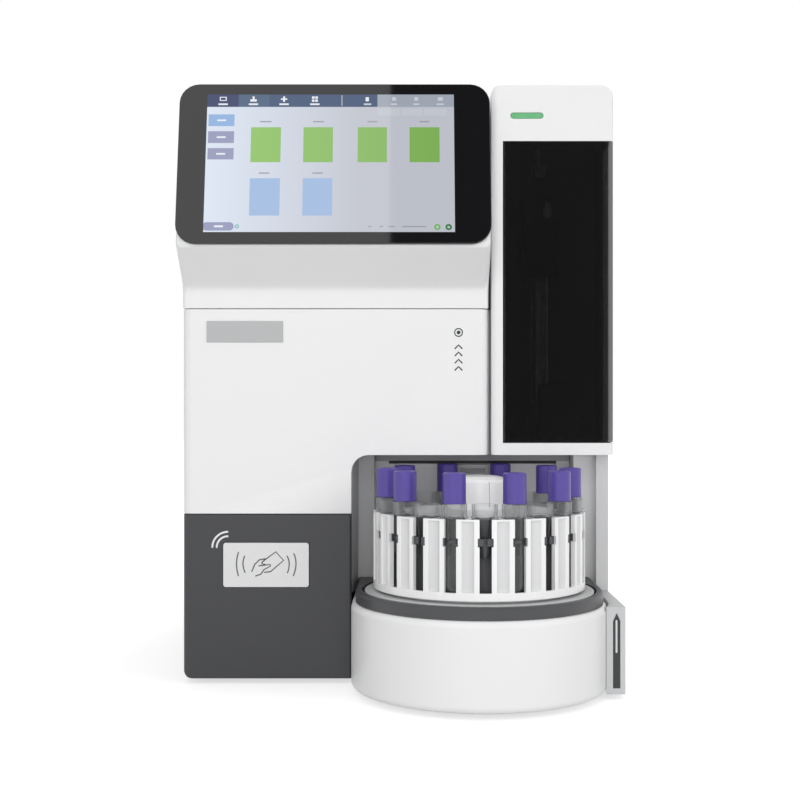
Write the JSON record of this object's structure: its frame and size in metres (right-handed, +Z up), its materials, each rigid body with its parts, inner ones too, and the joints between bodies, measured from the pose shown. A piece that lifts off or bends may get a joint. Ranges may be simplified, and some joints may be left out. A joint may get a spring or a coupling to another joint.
{
  "type": "glycohemoglobin analyzer",
  "caption": "Benchtop glycohemoglobin analyzer with a turning sample carousel, a needle lift in a windowed tower, a tilted touch display and a push-to-open door.",
  "frame": {"origin": "on the bench, under the middle of the unit's outline", "axes": "+Z up, front faces -Y, +X to the viewer's right"},
  "size_m": [0.331, 0.44, 0.4592],
  "materials": {
    "white_plastic": "satin white moulded cover",
    "light_grey_plastic": "satin light grey",
    "dark_grey_plastic": "fine matte dark grey",
    "black_plastic": "matte black",
    "black_glass": "glossy black cover glass",
    "smoked_acrylic": "glossy smoked window",
    "lcd_screen": "lit screen",
    "clear_plastic": "clear plastic",
    "tube_cap_purple": "satin purple",
    "green_light": "diffusing green light",
    "rubber": "matte black rubber",
    "steel": "brushed stainless steel",
    "sheet_metal": "fine powder coat, light grey",
    "dark_aluminium": "black anodised",
    "aluminium": "satin",
    "brass": "satin"
  },
  "bodies": {
    "cabinet": {"base_cabinet": "dark_grey_plastic", "card_reader_window": "light_grey_plastic", "base_plate": "sheet_metal", "main_cover": "white_plastic", "rear_panel": "sheet_metal", "module_frame": "sheet_metal", "column_oven": "aluminium", "column": "steel", "injection_valve": "black_plastic", "pump_head": "steel", "door_hinge_pin": "steel", "display_head": "white_plastic", "display_glass": "black_glass", "lcd_panel": "lcd_screen", "tower_housing": "white_plastic", "window_hinge_pin": "steel", "status_light": "green_light", "guide_rail": "steel", "lift_motor": "black_plastic", "wash_station": "black_plastic", "bay_liner": "light_grey_plastic", "bay_header": "dark_grey_plastic", "barcode_scanner": "light_grey_plastic", "drum_shell": "white_plastic", "deck_ring": "dark_grey_plastic", "side_pod": "white_plastic", "carousel_motor": "black_plastic", "power_inlet": "black_plastic", "data_ports": "black_plastic", "waste_fitting": "brass", "fan_guard": "black_plastic", "foot_front_left": "rubber", "foot_front_right": "rubber", "foot_rear_left": "rubber", "foot_rear_right": "rubber"},
    "front_door": {"front_door": "white_plastic"},
    "latch": {"latch_plunger": "black_plastic"},
    "tower_window": {"tower_window": "smoked_acrylic"},
    "needle_lift": {"needle_carriage": "dark_aluminium", "sampling_needle": "steel"},
    "lead_screw": {"lead_screw": "steel"},
    "carousel": {"turntable": "light_grey_plastic", "sample_tray": "white_plastic", "tray_hub": "white_plastic", "tube_insert_ring": "clear_plastic", "carousel_shaft": "steel", "drive_gear": "light_grey_plastic", "sample_tube_01": "tube_cap_purple", "sample_tube_02": "tube_cap_purple", "sample_tube_03": "tube_cap_purple", "sample_tube_04": "tube_cap_purple", "sample_tube_05": "tube_cap_purple", "sample_tube_06": "tube_cap_purple", "sample_tube_07": "tube_cap_purple", "sample_tube_08": "tube_cap_purple", "sample_tube_09": "tube_cap_purple", "sample_tube_10": "tube_cap_purple"},
    "drive_pinion": {"drive_pinion": "brass"},
    "power_switch": {"power_switch": "black_plastic"},
    "fan_rotor": {"fan_rotor": "black_plastic"}
  },
  "joints": [
    {"name": "front_door_swing", "type": "hinge", "parent": "cabinet", "child": "front_door", "pos_m": [-0.15845, -0.095, 0.209], "axis": [0, 0, -1], "range_deg": [0, 110]},
    {"name": "latch_push", "type": "slide", "parent": "cabinet", "child": "latch", "axis": [0, 1, 0], "range_m": [0, 0.003], "stiffness_N_per_m": 300, "springref_m": -0.002},
    {"name": "tower_window_swing", "type": "hinge", "parent": "cabinet", "child": "tower_window", "pos_m": [0.16245, -0.056, 0.3], "axis": [0, 0, 1], "range_deg": [0, 95]},
    {"name": "needle_lift", "type": "slide", "parent": "cabinet", "child": "needle_lift", "axis": [0, 0, 1], "range_m": [-0.08, 0]},
    {"name": "lead_screw_turn", "type": "hinge", "parent": "cabinet", "child": "lead_screw", "pos_m": [0.11047, -0.065, 0.3], "axis": [0, 0, 1], "range_deg": [-2900, 20]},
    {"name": "carousel_spin", "type": "hinge", "parent": "cabinet", "child": "carousel", "pos_m": [0.06055, -0.1244, 0.08], "axis": [0, 0, 1], "continuous": true},
    {"name": "pinion_spin", "type": "hinge", "parent": "cabinet", "child": "drive_pinion", "pos_m": [0.00981, -0.10593, 0.05], "axis": [0, 0, 1], "continuous": true},
    {"name": "switch_rock", "type": "hinge", "parent": "cabinet", "child": "power_switch", "pos_m": [-0.04745, 0.2045, 0.224], "axis": [-1, 0, 0], "range_deg": [0, 16]},
    {"name": "fan_spin", "type": "hinge", "parent": "cabinet", "child": "fan_rotor", "pos_m": [0.096, 0.2, 0.3], "axis": [0, 1, 0], "continuous": true}
  ],
  "couplings": [
    {"joint": "pinion_spin", "follows": "carousel_spin", "ratio": -4},
    {"joint": "lead_screw_turn", "follows": "needle_lift", "rad_per_m": 628.32}
  ]
}
